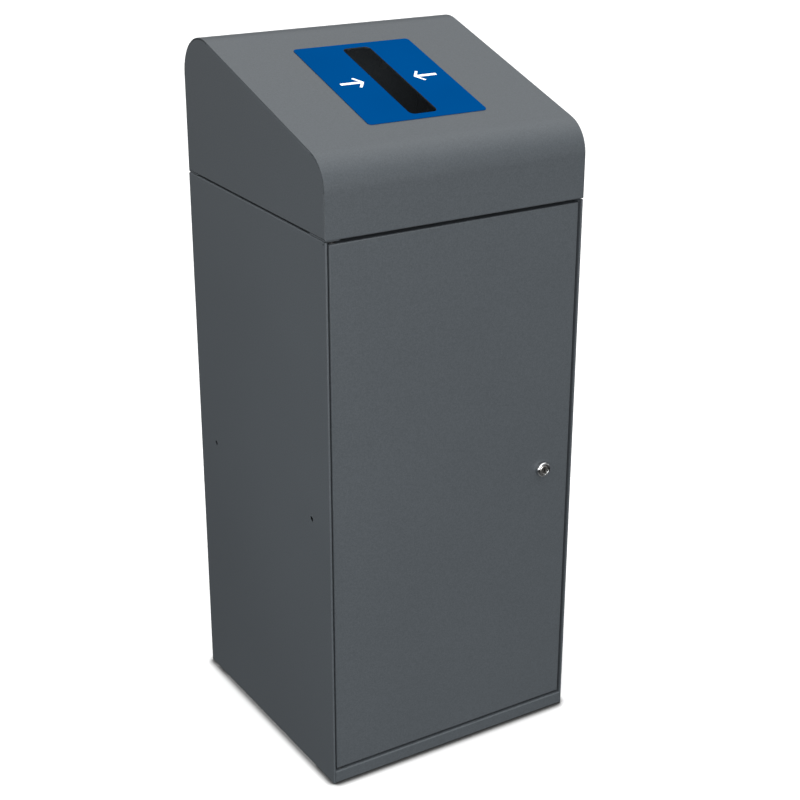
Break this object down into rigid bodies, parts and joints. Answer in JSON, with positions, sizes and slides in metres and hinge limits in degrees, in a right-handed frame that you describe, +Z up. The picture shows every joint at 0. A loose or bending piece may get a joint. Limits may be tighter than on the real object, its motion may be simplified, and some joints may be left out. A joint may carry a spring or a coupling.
{
  "type": "recycling litter bin",
  "caption": "Free-standing sheet steel recycling bin with a sloping hood, a lined posting slot, a hinged lockable front door and a lift-out galvanised liner.",
  "frame": {"origin": "middle of the bounding box's footprint, on the floor under the feet", "axes": "+X to the lock side seen from the front, +Y to the back, +Z up; the door and its lock face -Y"},
  "size_m": [0.4, 0.405, 1],
  "materials": {
    "anthracite_paint": "fine powder coat, low gloss",
    "blue_plate": "satin gloss",
    "galvanised_sheet": "hot-dip zinc with a soft spangle",
    "zinc_plate": "bright zinc plate",
    "black_steel": "black oxide",
    "lock_chrome": "polished",
    "lock_nickel": "satin nickel",
    "black_plastic": "matt",
    "black_rubber": "matt"
  },
  "bodies": {
    "cabinet": {"left_side_panel": "anthracite_paint", "right_side_panel": "anthracite_paint", "back_panel": "anthracite_paint", "floor_tray": "anthracite_paint", "top_front_rail": "anthracite_paint", "hood_wrap": "anthracite_paint", "hood_left_cheek": "anthracite_paint", "hood_right_cheek": "anthracite_paint", "hood_spacers": "black_plastic", "hood_bolts": "zinc_plate", "hood_nuts": "zinc_plate", "blanking_plugs": "black_plastic", "slot_plate": "blue_plate", "upper_hinge_pin": "black_steel", "lower_hinge_pin": "black_steel", "hinge_spacer": "black_plastic", "door_buffers": "black_rubber", "rubber_feet": "black_rubber", "foot_screws": "zinc_plate", "foot_nuts": "zinc_plate", "left_liner_guide": "anthracite_paint", "right_liner_guide": "anthracite_paint", "liner_shell": "galvanised_sheet", "liner_base": "galvanised_sheet", "handle_ears": "zinc_plate", "ear_rivets": "zinc_plate"},
    "door": {"door_panel": "anthracite_paint", "door_stiffener": "anthracite_paint", "upper_hinge_bush": "black_plastic", "lower_hinge_bush": "black_plastic", "lock_body": "lock_chrome", "lock_washer": "zinc_plate", "lock_nut": "zinc_plate"},
    "lock_rotor": {"lock_plug": "lock_nickel", "lock_cam": "zinc_plate", "cam_screw": "zinc_plate"},
    "handle": {"liner_handle": "zinc_plate"}
  },
  "joints": [
    {"name": "door_hinge", "type": "hinge", "parent": "cabinet", "child": "door", "pos_m": [-0.186, -0.188, 0.4], "axis": [0, 0, -1], "range_deg": [0, 110]},
    {"name": "lock_turn", "type": "hinge", "parent": "door", "child": "lock_rotor", "pos_m": [0.148, -0.19, 0.411], "axis": [0, -1, 0], "range_deg": [0, 90]},
    {"name": "handle_swing", "type": "hinge", "parent": "cabinet", "child": "handle", "pos_m": [0, 0.0145, 0.7153], "axis": [-1, 0, 0], "range_deg": [0, 178]}
  ]
}
